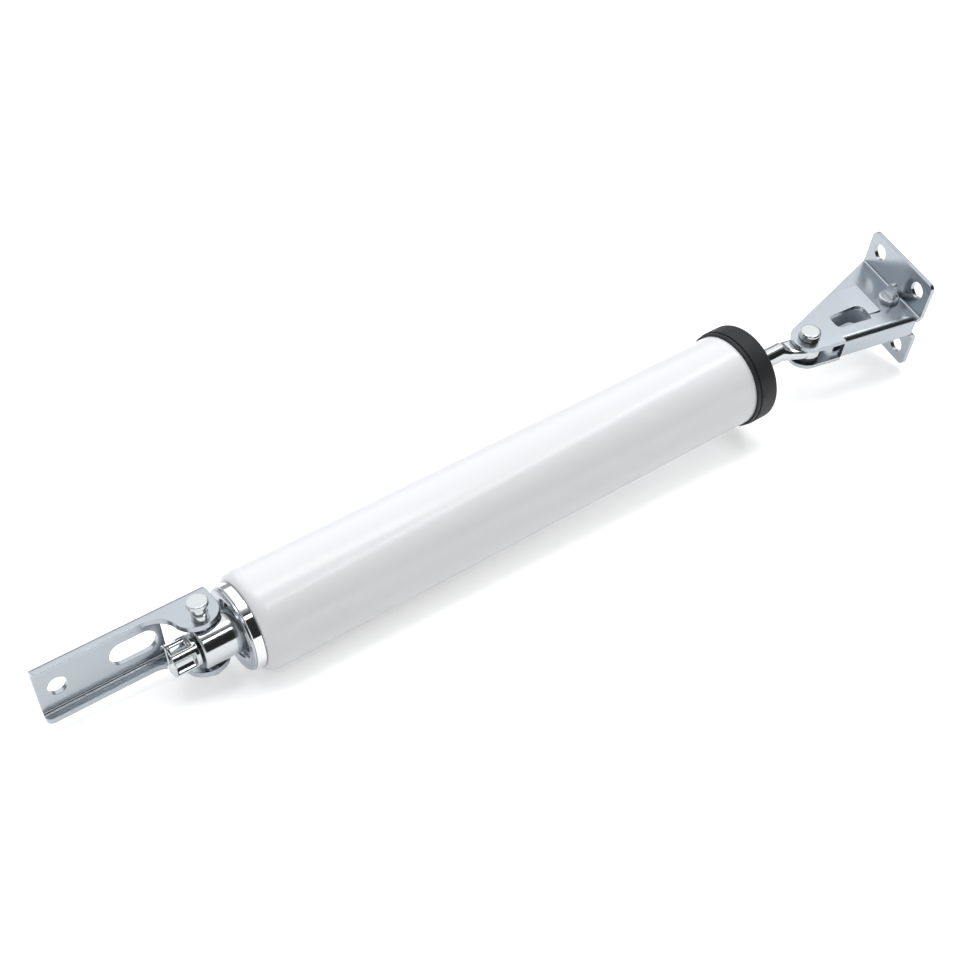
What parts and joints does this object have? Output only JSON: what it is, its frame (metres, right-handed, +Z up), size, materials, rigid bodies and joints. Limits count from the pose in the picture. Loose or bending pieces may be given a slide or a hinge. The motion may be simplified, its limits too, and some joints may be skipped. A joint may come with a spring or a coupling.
{
  "type": "pneumatic door closer",
  "caption": "Air tube with a spring-loaded piston rod, a channel bracket for the door at one end and a flanged bracket for the jamb at the other.",
  "frame": {"origin": "centre of the door bracket's round screw hole, on the face that lies on the door", "axes": "+X runs from the door bracket along the tube to the jamb bracket; -Y points from the door into the room; +Z runs up along the door pin"},
  "size_m": [0.3928, 0.0481, 0.0512],
  "materials": {
    "white_paint": "gloss",
    "zinc_plate": "satin",
    "bright_steel": "polished",
    "chrome_plate": "polished",
    "black_cap": "matt",
    "acetal": "satin",
    "seal_rubber": "matt",
    "brass_needle": "satin",
    "spring_steel": "satin"
  },
  "bodies": {
    "door_bracket": {"door_bracket": "zinc_plate", "door_pin": "bright_steel", "door_pin_clip": "spring_steel"},
    "tube": {"tube": "white_paint", "end_plug": "bright_steel", "collar_ring": "chrome_plate", "dished_washer": "zinc_plate", "plug_oring": "seal_rubber", "rod_cap": "black_cap", "guide_bush": "acetal", "rod_wiper": "seal_rubber", "spring_seat": "zinc_plate", "return_spring": "spring_steel"},
    "needle": {"valve_needle": "brass_needle"},
    "speed_screw": {"speed_screw": "bright_steel"},
    "piston": {"piston": "acetal", "cup_seal": "seal_rubber", "cup_follower": "zinc_plate"},
    "rod": {"piston_rod": "bright_steel", "piston_nut": "zinc_plate"},
    "jamb_bracket": {"jamb_bracket": "zinc_plate", "jamb_pin": "bright_steel", "jamb_pin_ring": "spring_steel", "eye_washers": "acetal", "stop_stud": "zinc_plate"}
  },
  "joints": [
    {"name": "tube_swing", "type": "hinge", "parent": "door_bracket", "child": "tube", "pos_m": [0.0474, -0.0156, 0], "axis": [0, 0, 1], "range_deg": [-90, 3]},
    {"name": "needle_feed", "type": "slide", "parent": "tube", "child": "needle", "axis": [-1, 0, 0], "range_m": [0, 0.0012]},
    {"name": "screw_turn", "type": "hinge", "parent": "needle", "child": "speed_screw", "pos_m": [0.0374, -0.0156, 0], "axis": [-1, 0, 0], "range_deg": [0, 545]},
    {"name": "piston_stroke", "type": "slide", "parent": "tube", "child": "piston", "axis": [1, 0, 0], "range_m": [0, 0.12], "stiffness_N_per_m": 280, "springref_m": -0.1, "deforming": ["return_spring"]},
    {"name": "rod_turn", "type": "hinge", "parent": "piston", "child": "rod", "pos_m": [0.09, -0.0156, 0], "axis": [1, 0, 0], "continuous": true},
    {"name": "jamb_swing", "type": "hinge", "parent": "rod", "child": "jamb_bracket", "pos_m": [0.3269, -0.01809, -0.00169], "axis": [0, -0.2215, 0.9751], "range_deg": [-100, 100]}
  ],
  "couplings": [
    {"joint": "screw_turn", "follows": "needle_feed", "rad_per_m": 7854}
  ]
}
